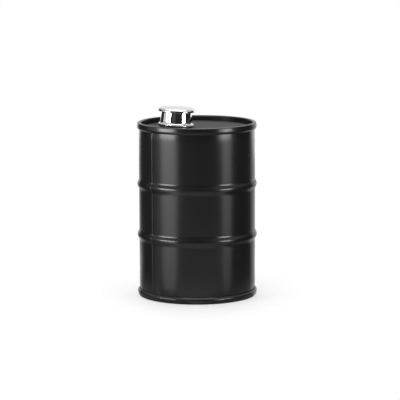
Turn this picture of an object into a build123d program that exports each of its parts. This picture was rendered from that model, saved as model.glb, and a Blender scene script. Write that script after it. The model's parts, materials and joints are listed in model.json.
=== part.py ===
from build123d import *
from math import cos, pi, radians, sin
import os

# A miniature oil drum: a screw-cap steel flask in the form of a two-hoop drum.
# Millimetres, +Z up, origin on the drum's axis at the plane that the bottom chime stands on.

# Drum
drum_height = 135.0
shell_radius = 45.0  # outside of the plain wall
sheet = 0.6  # steel of the shell and both heads
hoop_rise = 1.45  # how far a rolling hoop stands proud
hoop_half_width = 3.7
hoop_spacing = 39.8  # the two hoops lie evenly about mid-height
hoop_foot_radius = 3.5
hoop_crest_radius = 2.5
crest_trim = 0.22  # what the crest's fillet takes off a hoop's corner
neck_in = 0.4  # the shell draws in where the chimes grip it
neck_in_slope = 4.15  # height of that slope
neck_in_radius = 0.8  # where the slope meets the gripped end
neck_out_radius = 70.0  # where it swells into the plain wall
shell_end = 1.0  # from the lip to the shell's cut edge, inside the chime
chime_height = 9.15  # from the lip to the corner between slope and plain wall

# Heads, measured down from the lip
panel_depth = 3.8
panel_radius = 41.3
panel_ramp = 0.6  # run of the slope from the panel down into the countersink
countersink_depth = 0.8
chime_inner_radius = 43.2
chime_lip_radius = 45.95  # outside, at the lip
chime_bead_radius = 46.45  # outside, where the chime is widest
chime_bead_depth = 3.6
bead_trim = 0.07  # what the bead's fillet takes off its corner
chime_hem_radius = 45.15  # middle of the rolled edge, where it ends just off the shell
chime_hem_depth = 4.9
bend_radii = [0.5, 0.4, 0.5, 0.7, 0.6, 1.2]  # from the panel's edge out to the bead
compound_depth = 4.4  # how far the sealing compound runs into the chime

# Side seam
seam_angle = 220.0  # degrees from +X, left of the front
seam_width = 1.2
seam_rise = 0.18
seam_overrun = 3.85  # how far the weld runs on down each drawn-in end

# Filler neck, measured from the head panel along its own leaning axis
neck_x = -16.2
neck_y = -1.0
neck_lean = 3.2  # degrees, towards the middle of the head
neck_bore_radius = 6.5
neck_root_radius = 7.75
neck_height = 10.45
neck_below = 2.2  # how far it reaches into the drum
neck_lip_radius = 0.4
neck_base_radius = 9.6
neck_base_height = 1.5
neck_base_spare = 0.9  # cut away again where the base meets the level panel
braze_height = 0.7
braze_width = 0.7
braze_land = 0.1  # flat left at the fillet's two thin edges
braze_hollow = 0.25  # how far the fillet of braze sags towards its corner
head_hole_clearance = 0.05

# Thread, right-handed
thread_pitch = 2.5
thread_depth = 0.9
thread_base_width = 1.45
thread_crest_width = 0.75
thread_bury = 0.15  # how deep a ridge starts inside its own wall
thread_clearance = 0.25  # crest to root, in radius
neck_thread_start = 4.4
neck_thread_length = 4.6
insert_thread_start = 3.6
insert_thread_length = 4.6

# Cap, measured from the head panel along the neck's axis
cap_bottom = 0.95
cap_rim_top = 2.45
cap_rim_radius = 13.85
cap_waist_bottom = 4.9
cap_waist_bottom_radius = 12.35
cap_waist_top_radius = 11.6  # where it runs into the disc's underside
cap_waist_round = 0.7
rim_flare_out = 0.45  # middle of the flare, out from the waist's bottom
rim_flare_up = 0.85  # and up from the rim
cap_disc_radius = 14.3
cap_disc_bottom = 12.1
cap_top = 14.65
cap_crown = 0.25  # how far the middle of the top stands above its edge
cap_edge_round = 0.35
cap_top_round = 2.1
cap_cavity_radius = 10.9
cap_cavity_top = 13.2
cap_mouth_chamfer = 0.6
insert_bottom = 1.9
insert_roof = 1.1
insert_chamfer = 0.5
seal_radius = 8.7
seal_thickness = 1.5
seal_gap = 0.06
seal_chamfer = 0.1

panel_z = drum_height - panel_depth
neck_frame = Location((neck_x, neck_y, panel_z), (0, neck_lean, 0))
insert_root_radius = neck_root_radius + thread_depth + thread_clearance


def sheet_face(points, radii, thickness):
    """A strip of even thickness along a filleted path of (radius, height) points, in the XZ plane."""
    path = FilletPolyline(*points, radius=radii)
    strip = make_face(offset(path, amount=thickness / 2, side=Side.BOTH).edges())
    return Plane.XZ * strip


def turned(points):
    """A solid turned about Z from an outline of (radius, height) points."""
    return revolve(Plane.XZ * make_face(Polyline(*points, close=True)), Axis.Z)


def shell_path():
    """The middle of the shell's wall from its bottom edge to its top edge, and its fillet radii."""
    wall = shell_radius - sheet / 2
    necked = wall - neck_in
    points = [(necked, shell_end), (necked, chime_height - neck_in_slope), (wall, chime_height)]
    radii = [neck_in_radius, neck_out_radius]
    for side in (-1, 1):
        middle = drum_height / 2 + side * hoop_spacing / 2
        crest = wall + hoop_rise + crest_trim
        points += [(wall, middle - hoop_half_width), (crest, middle), (wall, middle + hoop_half_width)]
        radii += [hoop_foot_radius, hoop_crest_radius, hoop_foot_radius]
    top = drum_height - chime_height
    points += [(wall, top), (necked, top + neck_in_slope), (necked, drum_height - shell_end)]
    radii += [neck_out_radius, neck_in_radius]
    return points, radii


def body_shell():
    points, radii = shell_path()
    return revolve(sheet_face(points, radii, sheet), Axis.Z)


def side_seam(shell):
    """The weld line: a thin strip that follows the shell's outside over both hoops."""
    points, radii = shell_path()
    low = chime_height - seam_overrun
    points = [(r, min(max(z, low), drum_height - low)) for r, z in points[1:-1]]
    face = sheet_face(points, radii[1:-1], sheet + 2 * seam_rise)
    sweep_angle = seam_width / shell_radius * 180 / pi
    strip = Rot(Z=seam_angle - sweep_angle / 2) * revolve(face, Axis.Z, sweep_angle)
    pieces = (strip - shell).solids()
    return max(pieces, key=lambda piece: Vector(piece.center().X, piece.center().Y).length)


def head():
    """A head as it lies at the top of the drum: recessed panel, countersink, and rolled chime."""
    half = sheet / 2
    panel = -(panel_depth + half)
    countersink = panel - countersink_depth
    wall = chime_inner_radius + half
    disc_radius = panel_radius / 2
    points = [
        (disc_radius / 2, panel),  # the ring's flat part lies over the disc's, so the two join
        (panel_radius, panel),
        (panel_radius + panel_ramp, countersink),
        (wall, countersink),
        (wall, -half),
        (chime_lip_radius - half, -half),
        (chime_bead_radius - half + bead_trim, -chime_bead_depth),
        (chime_hem_radius, -chime_hem_depth),
    ]
    ring = revolve(sheet_face(points, bend_radii, sheet), Axis.Z)
    disc = Pos(Z=-panel_depth) * extrude(Circle(disc_radius), -sheet)
    return ring + disc


def top_head():
    hole = neck_frame * extrude(Circle(neck_root_radius + head_hole_clearance), panel_depth, both=True)
    return Pos(Z=drum_height) * head() - hole


def bottom_head():
    return mirror(head(), Plane.XY)


def seam_compound(shell, rolled_head):
    """What fills the top chime's fold round the shell's edge."""
    half = sheet / 2
    fill = turned([
        (chime_inner_radius + half, drum_height - half),
        (chime_lip_radius - half, drum_height - half),
        (chime_bead_radius - half, drum_height - chime_bead_depth),
        (chime_hem_radius, drum_height - compound_depth),
        (chime_inner_radius + half, drum_height - compound_depth),
    ])
    return max((fill - rolled_head - shell).solids(), key=lambda piece: piece.volume)


def thread_ridge(root, outward, start, length, phase):
    """One helical ridge on a wall of radius root, standing outward (1) or inward (-1)."""
    helix = Helix(thread_pitch, length, root)
    half_base = thread_base_width / 2
    half_crest = thread_crest_width / 2
    bury = -outward * thread_bury
    crest = outward * thread_depth
    corners = [(bury, -half_base), (crest, -half_crest), (crest, half_crest), (bury, half_base)]
    section = Plane(origin=helix @ 0, x_dir=(1, 0, 0), z_dir=helix % 0)
    profile = section * make_face(Polyline(*corners, close=True))
    return Pos(Z=start) * Rot(Z=phase) * sweep(profile, path=helix, is_frenet=True)


def below_panel():
    """Everything under the head panel's top face, near the neck."""
    depth = neck_below * 2
    return Pos(neck_x, neck_y, panel_z - depth) * extrude(Circle(cap_rim_radius), depth)


def filler_neck():
    outline = [
        (neck_bore_radius, -neck_below),
        (neck_root_radius, -neck_below),
        (neck_root_radius, -neck_base_spare),
        (neck_base_radius, -neck_base_spare),
        (neck_base_radius, neck_base_height),
        (neck_root_radius, neck_base_height),
        (neck_root_radius, neck_height),
        (neck_bore_radius, neck_height),
    ]
    tube = turned(outline)
    lip = tube.edges().filter_by(GeomType.CIRCLE).group_by(Axis.Z)[-1]
    tube = fillet(lip, neck_lip_radius)
    tube += thread_ridge(neck_root_radius, 1, neck_thread_start, neck_thread_length, 0)
    # The base is cut flush with the level panel, but the tube goes on down through its hole.
    spigot_radius = neck_root_radius + head_hole_clearance / 2
    spigot = neck_frame * extrude(Circle(spigot_radius), neck_below * 2, both=True)
    return neck_frame * tube - (below_panel() - spigot)


def neck_braze():
    """A hollow fillet of braze round the neck's base, level on the panel."""
    inner = neck_base_radius + braze_land
    outer = inner + braze_width
    hollow = ThreePointArc((inner, braze_height), (inner + braze_hollow, braze_hollow), (outer, braze_land))
    buried = neck_base_radius / 2  # well inside the base, which is cut away below
    sides = Polyline(
        (outer, braze_land),
        (outer, 0),
        (buried, 0),
        (buried, braze_height),
        (inner, braze_height),
    )
    ring = revolve(Plane.XZ * make_face([hollow, *sides.edges()]), Axis.Z)
    base = neck_frame * extrude(Circle(neck_base_radius), neck_base_height * 2, both=True)
    return Pos(neck_x, neck_y, panel_z) * ring - base


def cap_shell():
    """The chromed spool: flared base, tapered waist, overhanging disc, hollow from below."""
    base_flare = ThreePointArc(
        (cap_rim_radius, cap_rim_top),
        (cap_waist_bottom_radius + rim_flare_out, cap_rim_top + rim_flare_up),
        (cap_waist_bottom_radius, cap_waist_bottom),
    )
    # The crown's rise falls off with the square of the radius, as on any shallow arc.
    crown = ThreePointArc(
        (cap_disc_radius, cap_top),
        (cap_disc_radius / 2, cap_top + cap_crown * (1 - 0.5**2)),
        (0, cap_top + cap_crown),
    )
    outline = [
        Line((0, cap_cavity_top), (cap_cavity_radius, cap_cavity_top)),
        Line((cap_cavity_radius, cap_cavity_top), (cap_cavity_radius, cap_bottom)),
        Line((cap_cavity_radius, cap_bottom), (cap_rim_radius, cap_bottom)),
        Line((cap_rim_radius, cap_bottom), (cap_rim_radius, cap_rim_top)),
        base_flare,
        Line((cap_waist_bottom_radius, cap_waist_bottom), (cap_waist_top_radius, cap_disc_bottom)),
        Line((cap_waist_top_radius, cap_disc_bottom), (cap_disc_radius, cap_disc_bottom)),
        Line((cap_disc_radius, cap_disc_bottom), (cap_disc_radius, cap_top)),
        crown,
        Line((0, cap_top + cap_crown), (0, cap_cavity_top)),
    ]
    spool = revolve(Plane.XZ * make_face(outline), Axis.Z)

    def circles(radius, height):
        return [
            edge for edge in spool.edges().filter_by(GeomType.CIRCLE)
            if abs(edge.radius - radius) < 0.01 and abs(edge.center(CenterOf.GEOMETRY).Z - height) < 0.01
        ]

    spool = fillet(circles(cap_waist_top_radius, cap_disc_bottom), cap_waist_round)
    spool = fillet(circles(cap_disc_radius, cap_top), cap_top_round)
    spool = fillet(circles(cap_disc_radius, cap_disc_bottom), cap_edge_round)
    spool = fillet(circles(cap_rim_radius, cap_rim_top), cap_edge_round)
    spool = fillet(circles(cap_rim_radius, cap_bottom), cap_edge_round)
    spool = chamfer(circles(cap_cavity_radius, cap_bottom), cap_mouth_chamfer)
    return neck_frame * spool


def cap_insert():
    """The threaded liner: a cup fixed in the shell's cavity, its ridge between the neck's turns."""
    roof = cap_cavity_top - insert_roof
    cup = turned([
        (0, roof),
        (insert_root_radius, roof),
        (insert_root_radius, insert_bottom + insert_chamfer),
        (insert_root_radius + insert_chamfer, insert_bottom),
        (cap_cavity_radius, insert_bottom),
        (cap_cavity_radius, cap_cavity_top),
        (0, cap_cavity_top),
    ])
    # Half a pitch away from the neck's ridge at every angle.
    rise = insert_thread_start - neck_thread_start + thread_pitch / 2
    phase = 360 * rise / thread_pitch
    ridge = thread_ridge(insert_root_radius, -1, insert_thread_start, insert_thread_length, phase)
    return neck_frame * (cup + ridge)


def cap_seal():
    roof = cap_cavity_top - insert_roof
    disc = extrude(Circle(seal_radius), -seal_thickness)
    disc = chamfer(disc.edges(), seal_chamfer)
    return neck_frame * (Pos(Z=roof - seal_gap) * disc)


def main():
    shell = body_shell()
    top = top_head()
    compound = seam_compound(shell, Pos(Z=drum_height) * head())
    nodes = {
        "body_shell": shell,
        "side_seam": side_seam(shell),
        "top_head": top,
        "bottom_head": bottom_head(),
        "top_seam_compound": compound,
        "bottom_seam_compound": mirror(compound, Plane.XY.offset(drum_height / 2)),
        "filler_neck": filler_neck(),
        "neck_braze": neck_braze(),
        "cap_shell": cap_shell(),
        "cap_insert": cap_insert(),
        "cap_seal": cap_seal(),
    }
    os.makedirs("parts", exist_ok=True)
    for name, shape in nodes.items():
        export_step(shape, f"parts/{name}.step")
    lean = radians(neck_lean)
    print("neck axis", round(sin(lean), 6), 0, round(cos(lean), 6), "through", neck_x, neck_y, panel_z)


main()
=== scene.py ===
import json
from math import cos, pi, radians, sin

import bmesh
import bpy
from mathutils import Matrix, Vector, noise
from mathutils.bvhtree import BVHTree


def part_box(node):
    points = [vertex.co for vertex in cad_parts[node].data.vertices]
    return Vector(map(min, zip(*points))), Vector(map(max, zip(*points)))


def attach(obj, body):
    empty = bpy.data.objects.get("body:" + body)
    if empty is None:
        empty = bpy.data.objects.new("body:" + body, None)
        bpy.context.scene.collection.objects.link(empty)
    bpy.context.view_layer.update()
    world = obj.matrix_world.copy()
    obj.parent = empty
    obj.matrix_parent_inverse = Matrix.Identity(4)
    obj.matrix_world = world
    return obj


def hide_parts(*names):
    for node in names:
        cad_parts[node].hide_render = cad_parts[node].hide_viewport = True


# A miniature black oil drum with a chromed spool-shaped cap. Metres, +Z up; the camera is on the -Y side.

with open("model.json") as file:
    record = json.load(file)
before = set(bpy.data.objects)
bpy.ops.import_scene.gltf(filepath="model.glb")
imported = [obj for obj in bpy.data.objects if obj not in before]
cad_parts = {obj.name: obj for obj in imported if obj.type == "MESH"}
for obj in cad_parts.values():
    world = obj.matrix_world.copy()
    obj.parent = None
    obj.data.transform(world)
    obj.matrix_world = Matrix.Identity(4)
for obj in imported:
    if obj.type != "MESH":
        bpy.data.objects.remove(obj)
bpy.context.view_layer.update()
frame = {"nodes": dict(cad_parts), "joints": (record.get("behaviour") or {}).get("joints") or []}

MM = 0.001

# Places taken from the frame
hoop_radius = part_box("body_shell")[1].x
seam_low, seam_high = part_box("side_seam")
drum_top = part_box("top_head")[1].z
drum_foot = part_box("bottom_head")[0].z
drum_middle = Vector((0, 0, (drum_foot + drum_top) / 2))
lift_joint = next(joint for joint in frame["joints"] if joint["name"] == "cap_lift")
turn_joint = next(joint for joint in frame["joints"] if joint["name"] == "cap_turn")
neck_axis = Vector(lift_joint["axis"]).normalized()
neck_base = Vector(turn_joint["pos_m"])

# Camera: a long lens, a little above the drum
camera_elevation = radians(9.026)
camera_distance = 1.65
camera_lens = 190.9
aim_right = 2.25 * MM  # the drum stands a little left of the picture's middle and below it
aim_up = 6.12 * MM
camera_roll = radians(-0.2)

# Limits on the heads, measured inwards from the hoops' outside
chime_inset = 3.4 * MM  # just inside the chime's inner wall
panel_inset = 4 * MM  # in the middle of the groove round the panel

# Seam weld
bead_half_width = 0.75 * MM
bead_rise = 0.26 * MM
bead_wander = 0.05 * MM  # how far it strays sideways
bead_wander_length = 7 * MM
bead_ripple = 0.2  # how much its height varies
bead_ripple_length = 1.1 * MM
bead_step = 0.35 * MM
bead_taper = 1.5 * MM  # length of its run-out at each end
bead_sink = 0.02 * MM  # its edges lie this deep in the wall
bead_bury = 0.1 * MM  # and its underside this deep
ray_start = 1.2  # hoop radii: clear of the wall that the bead is laid on

# Studio. Azimuths are degrees round the drum from the camera, positive to its right.
white = 1.0
ambient = 0.4  # what the room gives to matt surfaces
room = 0.02  # what shiny surfaces see of the unlit room
tent = 0.6  # and of the white cloth over the table, which is open towards the camera
tent_edge = (12, 34)  # degrees of elevation over which it begins
tent_opening = (62, 38)  # degrees from straight out in front
floor_radius = 0.9
floor_share = 0.82  # how much of the white the floor stands for at the drum's foot
floor_solid = 0.05  # from here the floor fades into the white
floor_gone = 0.24
floor_narrow = 2.6  # how much sooner it fades at the drum's sides than in front
floor_lift = 0.11  # light that the floor passes on from below

# How bright shiny surfaces see the table: shares by azimuth, each with its half-width
lobe_ends = (1.4, 0.6)  # half-widths at which a share is gone, and full
table_reach = 1.8
table_side = 0.05
table_front = 0.3
front_half_width = 62
front_fade = (0.25, 0.85)  # from here to here the front falls off
front_far_share = 0.15
near_extra = 0.2  # more of it close in, under the hoops
near_fade = (0.09, 0.15)
foot_shade = (0.05, 0.12)  # the drum's own shadow across the side lights' shares
foot_share = 0.1  # and how much of them is left in it
near_side = 0.2  # and close in at the drum's sides
near_side_fade = (0.06, 0.14)
near_side_lobes = ((-95, 36), (100, 30))
left_lobe = (-58, 17)
left_level, left_slope = 0.8, 2.2  # at the foot, and more with each metre out
left_shoulder = (-87, 8, 0.3)  # the left light's soft outer edge
right_lobe = (61, 10)
right_level, right_slope = 0.42, 1.7
back_lobe = (172, 32)
back_level = 0.65
near_back_lobe = (180, 36)  # close behind the drum, seen under the hoops at its sides
near_back = 0.9
near_back_fade = (0.16, 0.4)
edge_azimuths = (-75, 72)  # where the wall turns away from the camera and sees the backdrop

# Upright lights: azimuth, height of the lower and upper edge, distance from the axis, width, radiance
softboxes = {
    "left_softbox": (-59, 0.12, 0.27, 0.62, 0.36, 12.0),
    "left_fill": (-90, 0.1, 0.25, 0.62, 0.3, 0.7),
    "front_card": (-18, 0.0, 0.5, 0.8, 0.3, 0.045),
    "right_softbox": (56, 0.12, 0.27, 0.62, 0.24, 10.0),
    "back_white": (172, 0.0, 0.55, 0.8, 1.3, 0.8),
}

# The light above: height, width, depth, radiance
top_light = (0.7, 0.6, 0.7, 2.2)


# --- Small helpers -----------------------------------------------------------------------------

class Graph:
    """A node tree, with one short call for each kind of node."""

    def __init__(self, tree):
        self.tree = tree

    def node(self, kind, **settings):
        made = self.tree.nodes.new(kind)
        for key, value in settings.items():
            setattr(made, key, value)
        return made

    def feed(self, socket, value):
        """Links a socket, or sets a plain value."""
        if isinstance(value, bpy.types.NodeSocket):
            self.tree.links.new(value, socket)
        else:
            socket.default_value = value

    def maths(self, operation, a, b=0.0, clamp=False):
        made = self.node("ShaderNodeMath", operation=operation, use_clamp=clamp)
        self.feed(made.inputs[0], a)
        self.feed(made.inputs[1], b)
        return made.outputs[0]

    def dot(self, a, b):
        made = self.node("ShaderNodeVectorMath", operation="DOT_PRODUCT")
        self.feed(made.inputs[0], a)
        self.feed(made.inputs[1], b)
        return made.outputs["Value"]

    def vector(self, operation, a, b):
        made = self.node("ShaderNodeVectorMath", operation=operation)
        self.feed(made.inputs[0], a)
        self.feed(made.inputs[1], b)
        return made.outputs["Vector"]

    def spread(self, value, low, high, to_low=0.0, to_high=1.0):
        """value between low and high becomes a number between to_low and to_high."""
        made = self.node("ShaderNodeMapRange", interpolation_type="SMOOTHSTEP")
        for socket, number in zip(made.inputs, (value, low, high, to_low, to_high)):
            self.feed(socket, number)
        return made.outputs["Result"]

    def blend(self, share, a, b):
        """Colour a where share is 0, and b where it is 1."""
        made = self.node("ShaderNodeMix", data_type="RGBA")
        self.feed(made.inputs["Factor"], share)
        self.feed(made.inputs[6], a)
        self.feed(made.inputs[7], b)
        return made.outputs[2]

    def bump(self, height, depth, strength=1.0, under=None):
        """Raises the surface by height times depth metres."""
        made = self.node("ShaderNodeBump")
        made.inputs["Distance"].default_value = depth
        made.inputs["Strength"].default_value = strength
        self.feed(made.inputs["Height"], height)
        if under is not None:
            self.feed(made.inputs["Normal"], under)
        return made.outputs["Normal"]


class Surface(Graph):
    """A material's node tree, round one Principled shader."""

    def __init__(self, name):
        self.material = bpy.data.materials.new(name)
        self.material.use_nodes = True
        super().__init__(self.material.node_tree)
        self.tree.nodes.clear()
        self.shader = self.node("ShaderNodeBsdfPrincipled")
        output = self.node("ShaderNodeOutputMaterial")
        self.tree.links.new(self.shader.outputs[0], output.inputs["Surface"])
        self.place = self.node("ShaderNodeTexCoord").outputs["Object"]

    def radius(self, stretch=(1, 1, 0)):
        """Distance from the drum's axis."""
        flat = self.node("ShaderNodeVectorMath", operation="LENGTH")
        self.feed(flat.inputs[0], self.vector("MULTIPLY", self.place, stretch))
        return flat.outputs["Value"]

    def noise(self, size, detail=2.0, roughness=0.5, stretch=None, distortion=0.0):
        """Noise whose features are about size metres across, from 0 to 1."""
        made = self.node("ShaderNodeTexNoise")
        place = self.place if stretch is None else self.vector("MULTIPLY", self.place, stretch)
        self.feed(made.inputs["Vector"], place)
        self.feed(made.inputs["Scale"], 1 / size)
        self.feed(made.inputs["Detail"], detail)
        self.feed(made.inputs["Roughness"], roughness)
        self.feed(made.inputs["Distortion"], distortion)
        return made.outputs["Fac"]

    def finish(self, **inputs):
        """Sets the shader's sockets; a name's underscores are spaces."""
        for name, value in inputs.items():
            self.feed(self.shader.inputs[name.replace("_", " ")], value)
        return self.material


def grey(level, warmth=0.0):
    return (level * (1 + warmth), level, level * (1 - warmth), 1.0)


def new_mesh(name, points, faces):
    """A smooth mesh object in the frame's own coordinates."""
    mesh = bpy.data.meshes.new(name)
    mesh.from_pydata([tuple(point) for point in points], [], faces)
    shape = bmesh.new()
    shape.from_mesh(mesh)
    bmesh.ops.recalc_face_normals(shape, faces=shape.faces)
    shape.to_mesh(mesh)
    shape.free()
    mesh.polygons.foreach_set("use_smooth", [True] * len(mesh.polygons))
    made = bpy.data.objects.new(name, mesh)
    bpy.context.scene.collection.objects.link(made)
    return made


# --- Materials ---------------------------------------------------------------------------------

def black_enamel(name, inner_side, dulled=None):
    """Semi-gloss black enamel outside, bare steel on the side that faces into the drum.

    inner_side(graph) gives 1 where the surface faces inwards, and dulled(graph) 1 where it is less shiny.
    """
    g = Surface(name)
    inside = inner_side(g)
    drift = g.noise(38 * MM, detail=3)
    peel = g.noise(1.1 * MM, detail=1.5, roughness=0.45)
    grain = g.noise(0.22 * MM, detail=1)
    rubs = g.spread(g.noise(9 * MM, detail=5, roughness=0.62, distortion=0.6), 0.58, 0.76)
    paint = g.blend(drift, grey(0.008), grey(0.0105, 0.02))
    paint = g.blend(g.maths("MULTIPLY", rubs, 0.5), paint, grey(0.014))
    colour = g.blend(inside, paint, grey(0.5, 0.02))
    satin = g.maths("ADD", g.spread(drift, 0.2, 0.8, 0.19, 0.23), g.maths("MULTIPLY", rubs, 0.07))
    satin = g.maths("ADD", satin, g.maths("MULTIPLY", grain, 0.03))
    if dulled:
        satin = g.maths("ADD", satin, g.maths("MULTIPLY", dulled(g), 0.38))
    rough = g.maths("ADD", satin, g.maths("MULTIPLY", inside, 0.1))
    normal = g.bump(peel, 0.012 * MM, 0.55)
    normal = g.bump(grain, 0.003 * MM, 0.5, under=normal)
    return g.finish(Base_Color=colour, Metallic=inside, Roughness=rough, Normal=normal, IOR=1.5)


def faces_axis(g):
    """1 on the shell's inner wall, whose normal points at the drum's axis."""
    normal = g.node("ShaderNodeNewGeometry").outputs["Normal"]
    outward = g.vector("MULTIPLY", g.place, (1, 1, 0))
    return g.maths("LESS_THAN", g.dot(normal, outward), 0.0)


def faces_contents(up):
    """A test for a head's inner face: its normal has the sign -up, and it lies within the chime."""
    def test(g):
        normal = g.node("ShaderNodeNewGeometry").outputs["Normal"]
        inward = g.maths("GREATER_THAN", g.dot(normal, (0, 0, -up)), 0.5)
        within = g.maths("LESS_THAN", g.radius(), hoop_radius - chime_inset)
        return g.maths("MULTIPLY", inward, within)
    return test


def on_panel(g):
    """1 on the top head's recessed panel, which is wiped and handled most."""
    normal = g.node("ShaderNodeNewGeometry").outputs["Normal"]
    level = g.maths("GREATER_THAN", g.dot(normal, (0, 0, 1)), 0.9)
    within = g.maths("LESS_THAN", g.radius(), hoop_radius - panel_inset)
    return g.maths("MULTIPLY", level, within)


def chrome():
    """Polished plate with faint finger smudges and hair-fine wiping marks."""
    g = Surface("cap_chrome_plate")
    smudge = g.spread(g.noise(4.5 * MM, detail=4, roughness=0.6, distortion=0.8), 0.5, 0.75)
    ridges = g.noise(0.35 * MM, detail=1, stretch=(1, 0.25, 1))
    wipes = g.noise(0.12 * MM, detail=2, stretch=(1, 0.06, 1))
    colour = g.blend(smudge, grey(0.84, -0.006), grey(0.8, 0.004))
    rough = g.maths("MULTIPLY", smudge, g.spread(ridges, 0.35, 0.65, 0.03, 0.09))
    rough = g.maths("ADD", rough, g.spread(wipes, 0.3, 0.7, 0.035, 0.055))
    normal = g.bump(g.noise(6 * MM, detail=1), 0.01 * MM, 0.3)
    normal = g.bump(wipes, 0.0006 * MM, 0.35, under=normal)
    return g.finish(Base_Color=colour, Metallic=1.0, Roughness=rough, Normal=normal)


def turned_steel():
    """Stainless steel with the fine rings that a lathe leaves round the neck's axis."""
    g = Surface("turned_spout_steel")
    along = g.dot(g.vector("SUBTRACT", g.place, tuple(neck_base)), tuple(neck_axis))
    rings = g.node("ShaderNodeTexNoise", noise_dimensions="1D")
    g.feed(rings.inputs["W"], along)
    g.feed(rings.inputs["Scale"], 1 / (0.16 * MM))
    g.feed(rings.inputs["Detail"], 3.0)
    ring = rings.outputs["Fac"]
    stain = g.noise(5 * MM, detail=3)
    colour = g.blend(stain, grey(0.6, 0.01), grey(0.5, 0.03))
    rough = g.maths("ADD", g.spread(ring, 0.3, 0.7, 0.2, 0.34), g.maths("MULTIPLY", stain, 0.06))
    return g.finish(Base_Color=colour, Metallic=1.0, Roughness=rough, Normal=g.bump(ring, 0.01 * MM, 0.5))


def braze_metal():
    """Silver braze: smooth, faintly yellow, with a flux stain here and there."""
    g = Surface("silver_braze")
    flow = g.noise(1.6 * MM, detail=3, distortion=0.5)
    stain = g.spread(g.noise(3 * MM, detail=3), 0.52, 0.7)
    colour = g.blend(stain, grey(0.62, 0.07), grey(0.34, 0.12))
    rough = g.spread(flow, 0.3, 0.7, 0.24, 0.42)
    return g.finish(Base_Color=colour, Metallic=1.0, Roughness=rough, Normal=g.bump(flow, 0.05 * MM, 0.5))


def moulded_plastic():
    """Natural polyethylene: milky, with a fine moulded texture."""
    g = Surface("natural_liner_plastic")
    cloud = g.noise(5 * MM, detail=2)
    grain = g.noise(0.25 * MM, detail=2)
    colour = g.blend(cloud, grey(0.72, 0.03), grey(0.64, 0.05))
    rough = g.spread(grain, 0.3, 0.7, 0.38, 0.52)
    return g.finish(
        Base_Color=colour,
        Roughness=rough,
        Normal=g.bump(grain, 0.008 * MM, 0.5),
        Subsurface_Weight=0.25,
        Subsurface_Scale=1.2 * MM,
    )


def matt_silicone():
    """Translucent silicone with a soft matt skin and a little lint."""
    g = Surface("matt_silicone")
    lint = g.spread(g.noise(0.6 * MM, detail=3), 0.66, 0.74)
    skin = g.noise(0.3 * MM, detail=2)
    colour = g.blend(lint, grey(0.66, 0.01), grey(0.5, 0.04))
    rough = g.spread(skin, 0.3, 0.7, 0.5, 0.64)
    return g.finish(
        Base_Color=colour,
        Roughness=rough,
        Normal=g.bump(skin, 0.01 * MM, 0.4),
        Subsurface_Weight=0.4,
        Subsurface_Scale=1.5 * MM,
    )


def sealing_compound():
    """Dull cured compound, slightly lumpy."""
    g = Surface("cured_seam_compound")
    lumps = g.noise(1.2 * MM, detail=4, roughness=0.6)
    colour = g.blend(lumps, grey(0.05, 0.06), grey(0.1, 0.08))
    rough = g.spread(lumps, 0.3, 0.7, 0.66, 0.86)
    return g.finish(Base_Color=colour, Roughness=rough, Normal=g.bump(lumps, 0.12 * MM, 0.7))


def dress(material, *nodes):
    """Gives CAD nodes this material in every slot that they have."""
    for name in nodes:
        for place in frame["nodes"][name].material_slots:
            place.material = material


# --- Studio ------------------------------------------------------------------------------------

def disc(name, reach):
    """A flat round sheet on the floor, in rings."""
    ring_count, side_count = 24, 96
    points = [Vector((0, 0, 0))]
    for ring in range(1, ring_count + 1):
        r = reach * ring / ring_count
        turns = [2 * pi * i / side_count for i in range(side_count)]
        points += [Vector((r * cos(turn), r * sin(turn), 0)) for turn in turns]
    faces = [(0, 1 + i, 1 + (i + 1) % side_count) for i in range(side_count)]
    for ring in range(1, ring_count):
        inner, outer = 1 + (ring - 1) * side_count, 1 + ring * side_count
        for i in range(side_count):
            j = (i + 1) % side_count
            faces.append((inner + i, outer + i, outer + j, inner + j))
    made = new_mesh(name, points, faces)
    return made


def toward(azimuth):
    return Vector((sin(radians(azimuth)), -cos(radians(azimuth)), 0))


def floor():
    """A pale floor that catches the drum's shadow and fades into the white beyond."""
    made = disc("studio_floor", floor_radius)
    g = Surface("pale_floor")
    speck = g.noise(1.5 * MM, detail=2)
    g.finish(
        Base_Color=g.blend(speck, grey(0.87), grey(0.9)),
        Roughness=0.6,
        Alpha=g.spread(g.radius((floor_narrow, 1, 0)), floor_solid, floor_gone, floor_share, 0.0),
        Normal=g.bump(speck, 0.01 * MM, 0.2),
        Emission_Color=grey(1.0),
        Emission_Strength=floor_lift,
    )
    made.data.materials.append(g.material)
    made.visible_glossy = False


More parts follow.
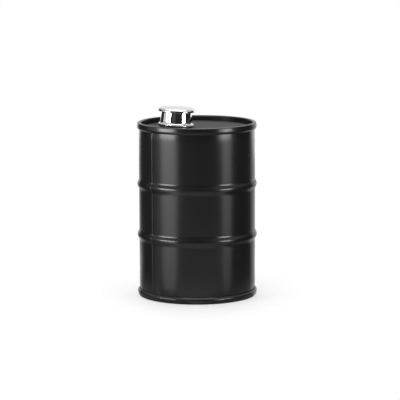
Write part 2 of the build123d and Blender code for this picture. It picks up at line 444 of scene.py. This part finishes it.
def table_glow():
    """What shiny surfaces see of the table: white towards the lights and the backdrop, dim elsewhere."""
    made = disc("table_glow", table_reach)
    g = Surface("table_glow")
    r = g.radius()

    def lobe(azimuth, half_width, level, mirror=None):
        """level along one azimuth and half of it at the half-width, as seen from a point of the wall.

        That point is at the azimuth mirror: by default the one that reflects this azimuth to the camera.
        """
        start = toward(azimuth / 2 if mirror is None else mirror) * hoop_radius
        bearing = g.vector("NORMALIZE", g.vector("SUBTRACT", g.place, (start.x, start.y, 0)), (0, 0, 0))
        ends = [cos(radians(share * half_width)) for share in lobe_ends]
        return g.spread(g.dot(bearing, tuple(toward(azimuth))), *ends, 0.0, level)

    def rising(level, slope):
        return g.maths("ADD", level, g.maths("MULTIPLY", r, slope))

    front = g.maths("ADD", table_front, g.spread(r, *near_fade, near_extra, 0.0))
    front = g.maths("MULTIPLY", front, g.spread(r, *front_fade, 1.0, front_far_share))
    sides = lobe(*left_lobe, rising(left_level, left_slope))
    sides = g.maths("ADD", sides, lobe(*right_lobe, rising(right_level, right_slope)))
    sides = g.maths("MULTIPLY", sides, g.spread(r, *foot_shade, foot_share, 1.0))
    near = g.spread(r, *near_side_fade, near_side, 0.0)
    left_near, right_near = (lobe(*place, near, mirror=0) for place in near_side_lobes)
    sides = g.maths("ADD", sides, g.maths("ADD", left_near, right_near))
    sides = g.maths("ADD", sides, lobe(*left_shoulder))
    total = g.maths("ADD", table_side, g.maths("ADD", lobe(0, front_half_width, front), sides))
    backs = [lobe(*back_lobe, back_level, mirror=edge) for edge in edge_azimuths]
    under_hoops = lobe(*near_back_lobe, g.spread(r, *near_back_fade, near_back, 0.0), mirror=0)
    g.finish(
        Base_Color=grey(0.0),
        Specular_IOR_Level=0.0,
        Emission_Color=grey(1.0),
        Emission_Strength=g.maths("ADD", total, g.maths("MAXIMUM", g.maths("MAXIMUM", *backs), under_hoops)),
    )
    made.data.materials.append(g.material)
    made.visible_camera = False
    made.visible_diffuse = False
    made.visible_shadow = False


def area_light(name, place, width, height, radiance):
    """A rectangular light that the camera doesn't see. It faces down until it is turned."""
    light = bpy.data.lights.new(name, "AREA")
    light.shape = "RECTANGLE"
    light.size, light.size_y = width, height
    light.energy = radiance * width * height * pi
    made = bpy.data.objects.new(name, light)
    made.location = place
    made.visible_camera = False
    bpy.context.scene.collection.objects.link(made)
    return made


def softbox(name, azimuth, low, high, distance, width, radiance):
    """An upright light facing the drum's axis, from height low to high."""
    away = toward(azimuth)
    made = area_light(name, away * distance + Vector((0, 0, (low + high) / 2)), width, high - low, radiance)
    made.rotation_mode = "QUATERNION"
    made.rotation_quaternion = away.to_track_quat("Z", "Y")


def white_room():
    """White to the camera, dim to matt surfaces; shiny ones see a white tent with a dark opening."""
    world = bpy.data.worlds.new("white_room")
    world.use_nodes = True
    bpy.context.scene.world = world
    g = Graph(world.node_tree)
    rays = g.node("ShaderNodeLightPath").outputs
    direction = g.node("ShaderNodeTexCoord").outputs["Generated"]
    edge_ends = [sin(radians(turn)) for turn in tent_edge]
    opening_ends = [cos(radians(turn)) for turn in tent_opening]
    rise = g.spread(g.dot(direction, (0, 0, 1)), *edge_ends)
    opening = g.spread(g.dot(direction, (0, -1, 0)), *opening_ends, 1.0, 0.0)
    cloth = g.maths("MULTIPLY", g.maths("MULTIPLY", rise, opening), tent)
    total = g.maths("MULTIPLY", rays["Is Glossy Ray"], g.maths("ADD", cloth, room))
    total = g.maths("ADD", total, g.maths("MULTIPLY", rays["Is Camera Ray"], white))
    total = g.maths("ADD", total, g.maths("MULTIPLY", rays["Is Diffuse Ray"], ambient))
    back = g.tree.nodes["Background"]
    back.inputs["Color"].default_value = (1, 1, 1, 1)
    g.feed(back.inputs["Strength"], total)


def lights():
    for name, setting in softboxes.items():
        softbox(name, *setting)
    height, *shape = top_light
    area_light("top_softbox", (0, 0, height), *shape)


def camera():
    data = bpy.data.cameras.new("camera")
    data.lens = camera_lens
    made = bpy.data.objects.new("camera", data)
    bpy.context.scene.collection.objects.link(made)
    back = Vector((0, -cos(camera_elevation), sin(camera_elevation)))
    up = Vector((0, sin(camera_elevation), cos(camera_elevation)))
    made.location = drum_middle + back * camera_distance
    aim = drum_middle + Vector((1, 0, 0)) * aim_right + up * aim_up
    turn = (aim - made.location).to_track_quat("-Z", "Y").to_matrix() @ Matrix.Rotation(camera_roll, 3, "Z")
    made.rotation_mode = "QUATERNION"
    made.rotation_quaternion = turn.to_quaternion()
    bpy.context.scene.camera = made


def seam_bead():
    """The shell's weld: a low rounded bead with fine ripples, which climbs over both hoops."""
    mesh = frame["nodes"]["body_shell"].data
    wall = BVHTree.FromPolygons([v.co for v in mesh.vertices], [tuple(p.vertices) for p in mesh.polygons])
    middle = (seam_low + seam_high) / 2
    out = Vector((middle.x, middle.y, 0)).normalized()
    rows = round((seam_high.z - seam_low.z) / bead_step)
    across = [i / 4 for i in range(-4, 5)]
    points = []
    for row in range(rows + 1):
        z = seam_low.z + (seam_high.z - seam_low.z) * row / rows
        hit = wall.ray_cast(out * hoop_radius * ray_start + Vector((0, 0, z)), -out)[0]
        radius = Vector((hit.x, hit.y)).length
        stray = bead_wander * noise.noise(Vector((0, 0, z / bead_wander_length)))
        ripple = 1 + bead_ripple * noise.noise(Vector((3, 0, z / bead_ripple_length)))
        run_out = min(1, (z - seam_low.z) / bead_taper, (seam_high.z - z) / bead_taper)
        ring = [(u, bead_rise * (1 - u * u) * ripple * run_out - bead_sink) for u in across]
        ring += [(1, -bead_bury), (-1, -bead_bury)]
        for u, rise in ring:
            turn = Matrix.Rotation((u * bead_half_width + stray) / radius, 3, "Z")
            points.append(turn @ out * (radius + rise) + Vector((0, 0, z)))
    count = len(across) + 2
    faces = [tuple(range(count)), tuple(range(rows * count, (rows + 1) * count))]
    for row in range(rows):
        for i in range(count):
            j = (i + 1) % count
            a, b = row * count, (row + 1) * count
            faces.append((a + i, a + j, b + j, b + i))
    made = new_mesh("seam_weld_bead", points, faces)
    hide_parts("side_seam")
    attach(made, "drum")
    return made


def dress_nodes():
    shell_enamel = black_enamel("shell_enamel", faces_axis)
    dress(shell_enamel, "body_shell")
    seam_bead().data.materials.append(shell_enamel)
    dress(black_enamel("top_enamel", faces_contents(1), on_panel), "top_head")
    dress(black_enamel("bottom_enamel", faces_contents(-1)), "bottom_head")
    dress(chrome(), "cap_shell")
    dress(turned_steel(), "filler_neck")
    dress(braze_metal(), "neck_braze")
    dress(moulded_plastic(), "cap_insert")
    dress(matt_silicone(), "cap_seal")
    dress(sealing_compound(), "top_seam_compound", "bottom_seam_compound")


bpy.context.scene.view_settings.view_transform = "Standard"
dress_nodes()
floor()
table_glow()
white_room()
lights()
camera()
